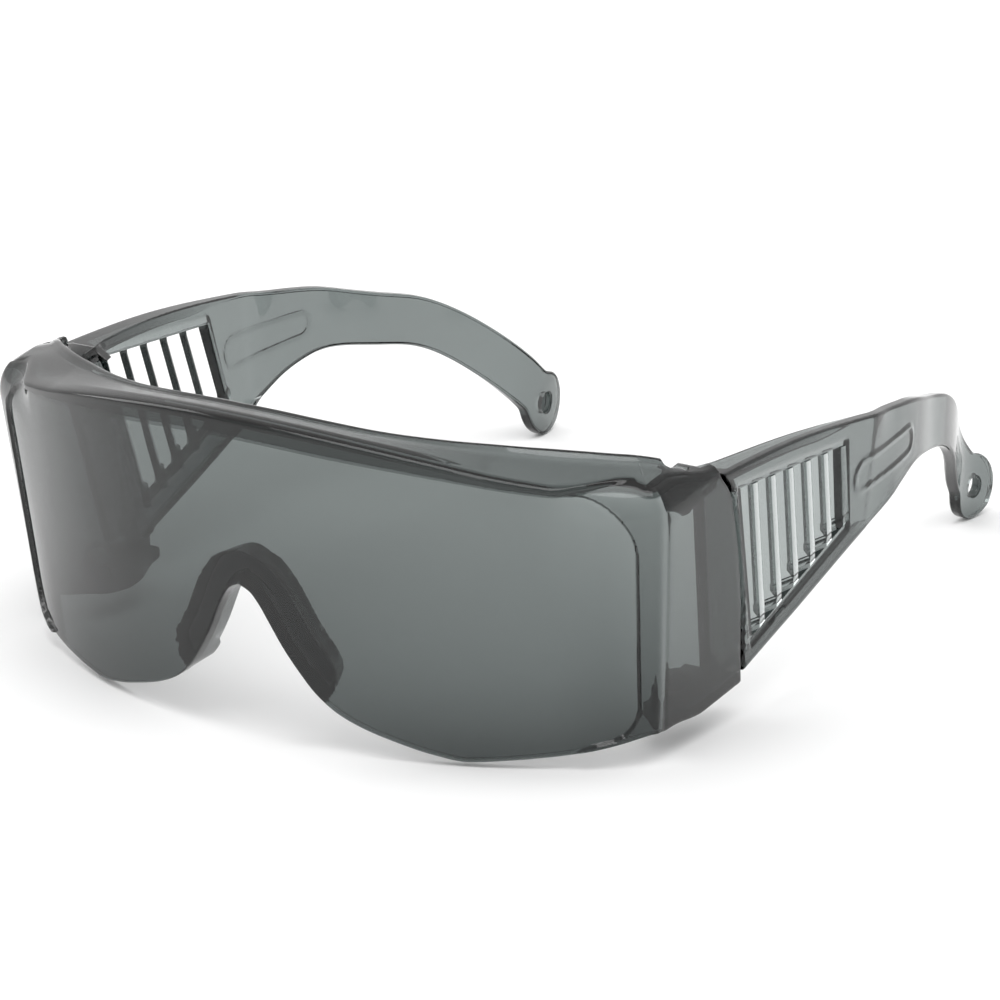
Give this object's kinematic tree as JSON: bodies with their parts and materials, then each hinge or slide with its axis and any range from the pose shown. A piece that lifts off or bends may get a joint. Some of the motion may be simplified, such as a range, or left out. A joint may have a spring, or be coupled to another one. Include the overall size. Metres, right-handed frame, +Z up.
{
  "type": "safety glasses",
  "caption": "Wrap-around smoke-tinted over-spectacle safety glasses with brow guard, side shields and folding vented temples.",
  "frame": {"origin": "middle of the footprint on the surface the open glasses stand on", "axes": "+Z up, front of the lens towards -Y, temples run towards +Y, wearer's left towards +X"},
  "size_m": [0.1442, 0.189, 0.0622],
  "materials": {
    "smoke_lens": "glossy smoke-tinted polycarbonate",
    "smoke_moulding": "glossy smoke-tinted polycarbonate",
    "hinge_pin": "dark snap-in plastic rivet"
  },
  "bodies": {
    "front": {"lens": "smoke_lens", "brow_guard": "smoke_moulding", "nose_saddle": "smoke_moulding", "left_side_shield": "smoke_moulding", "right_side_shield": "smoke_moulding", "left_upper_hinge_pin": "hinge_pin", "left_lower_hinge_pin": "hinge_pin", "right_upper_hinge_pin": "hinge_pin", "right_lower_hinge_pin": "hinge_pin"},
    "left_temple": {"left_temple_panel": "smoke_moulding", "left_upper_hinge_tongue": "smoke_moulding", "left_lower_hinge_tongue": "smoke_moulding", "left_louvre_1": "smoke_moulding", "left_louvre_2": "smoke_moulding", "left_louvre_3": "smoke_moulding", "left_louvre_4": "smoke_moulding", "left_louvre_5": "smoke_moulding", "left_louvre_6": "smoke_moulding", "left_temple_arm": "smoke_moulding", "left_ear_piece": "smoke_moulding"},
    "right_temple": {"right_temple_panel": "smoke_moulding", "right_upper_hinge_tongue": "smoke_moulding", "right_lower_hinge_tongue": "smoke_moulding", "right_louvre_1": "smoke_moulding", "right_louvre_2": "smoke_moulding", "right_louvre_3": "smoke_moulding", "right_louvre_4": "smoke_moulding", "right_louvre_5": "smoke_moulding", "right_louvre_6": "smoke_moulding", "right_temple_arm": "smoke_moulding", "right_ear_piece": "smoke_moulding"}
  },
  "joints": [
    {"name": "left_temple_fold", "type": "hinge", "parent": "front", "child": "left_temple", "pos_m": [0.0642, -0.04967, 0.03032], "axis": [0.0926, -0.1386, 0.986], "range_deg": [0, 55]},
    {"name": "right_temple_fold", "type": "hinge", "parent": "front", "child": "right_temple", "pos_m": [-0.0642, -0.04967, 0.03032], "axis": [0.0926, 0.1386, -0.986], "range_deg": [0, 22]}
  ]
}
